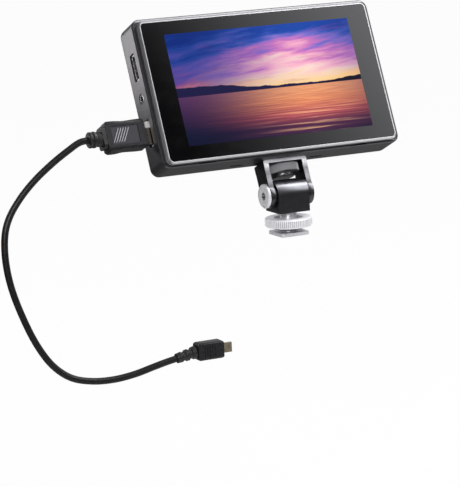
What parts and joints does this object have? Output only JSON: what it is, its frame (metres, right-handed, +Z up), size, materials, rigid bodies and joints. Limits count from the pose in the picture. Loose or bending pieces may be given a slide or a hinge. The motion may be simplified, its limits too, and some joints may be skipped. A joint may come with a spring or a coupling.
{
  "type": "camera field monitor",
  "caption": "Flat field monitor on a tilting, swivelling shoe mount, with a video lead plugged into its side.",
  "frame": {"origin": "centre of the shoe foot's underside", "axes": "+X to the viewer's right along the tilt axis and the housing's width, +Y away from the viewer, +Z up"},
  "size_m": [0.2537, 0.0656, 0.2051],
  "materials": {
    "shell": "fine matt texture",
    "frame": "satin with a bright bevelled rim",
    "screen_glass": "clear gloss over a black printed border",
    "lcd": "dark liquid crystal cell",
    "light_guide": "white acrylic in a thin tray",
    "chassis": "plain pressed sheet",
    "board": "green solder mask",
    "cooler": "anodised",
    "socket_metal": "plated sheet",
    "jack_plastic": "black moulded",
    "button": "satin",
    "catch": "satin",
    "contact": "gold plated",
    "insert": "turned",
    "black_screw": "black oxide",
    "steel_screw": "zinc plated",
    "anodised": "black anodised, satin",
    "pivot": "turned, nickel plated",
    "friction": "matt",
    "foot_metal": "nickel plated",
    "ring_metal": "bright turned with fine serrations",
    "plug_plastic": "satin overmould",
    "plug_metal": "plated shell",
    "jacket": "smooth dark jacket"
  },
  "bodies": {
    "base": {"tilt_block": "anodised", "shoe_foot": "foot_metal"},
    "clamp": {"clamp_washer": "anodised"},
    "ring": {"lock_ring": "ring_metal"},
    "yoke": {"yoke_bracket": "anodised", "plate_pad": "friction", "pivot_screw": "pivot", "friction_washers": "friction"},
    "thumbscrew": {"thumb_wheel": "anodised", "thumb_screw": "steel_screw"},
    "monitor": {"front_frame": "frame", "cover_glass": "screen_glass", "lcd_panel": "lcd", "backlight_unit": "light_guide", "mid_chassis": "chassis", "main_board": "board", "heat_sink": "cooler", "hdmi_out_socket": "socket_metal", "hdmi_in_socket": "socket_metal", "audio_jack": "jack_plastic", "dc_jack": "jack_plastic", "usb_socket": "socket_metal", "power_switch": "jack_plastic", "rear_cover": "shell", "battery_plate": "shell", "battery_contacts": "contact", "plate_screws": "steel_screw", "thread_insert": "insert", "rear_screws": "black_screw", "board_screws": "steel_screw"},
    "button": {"power_button": "button"},
    "latch": {"battery_latch": "catch"},
    "lead": {"hdmi_plug_shell": "plug_metal", "hdmi_plug_body": "plug_plastic", "hdmi_plug_boot": "jacket", "lead_cable": "jacket", "camera_plug_boot": "jacket", "camera_plug_body": "plug_plastic", "camera_plug_shell": "plug_metal"}
  },
  "joints": [
    {"name": "clamp_slide", "type": "slide", "parent": "base", "child": "clamp", "axis": [0, 0, 1], "range_m": [-0.0016, 0.003]},
    {"name": "ring_turn", "type": "hinge", "parent": "clamp", "child": "ring", "pos_m": [0, 0, 0.008], "axis": [0, 0, 1], "range_deg": [-385, 721]},
    {"name": "tilt", "type": "hinge", "parent": "base", "child": "yoke", "pos_m": [0, 0, 0.0243], "axis": [1, 0, 0], "range_deg": [-66, 113]},
    {"name": "pan", "type": "hinge", "parent": "yoke", "child": "monitor", "pos_m": [0, 0, 0.0243], "axis": [0, 0.4035, 0.915], "range_deg": [-180, 180]},
    {"name": "thumb_turn", "type": "hinge", "parent": "yoke", "child": "thumbscrew", "pos_m": [0, 0, 0.0243], "axis": [0, 0.4035, 0.915], "continuous": true},
    {"name": "power_press", "type": "slide", "parent": "monitor", "child": "button", "axis": [0, -0.4035, -0.915], "range_m": [0, 0.0006], "stiffness_N_per_m": 600, "springref_m": -0.001},
    {"name": "catch_press", "type": "slide", "parent": "monitor", "child": "latch", "axis": [0, -0.915, 0.4035], "range_m": [0, 0.0023], "stiffness_N_per_m": 500, "springref_m": -0.001},
    {"name": "unplug", "type": "slide", "parent": "monitor", "child": "lead", "axis": [-1, 0, 0], "range_m": [0, 0.013]}
  ],
  "couplings": [
    {"joint": "ring_turn", "follows": "clamp_slide", "rad_per_m": 4188.8}
  ]
}
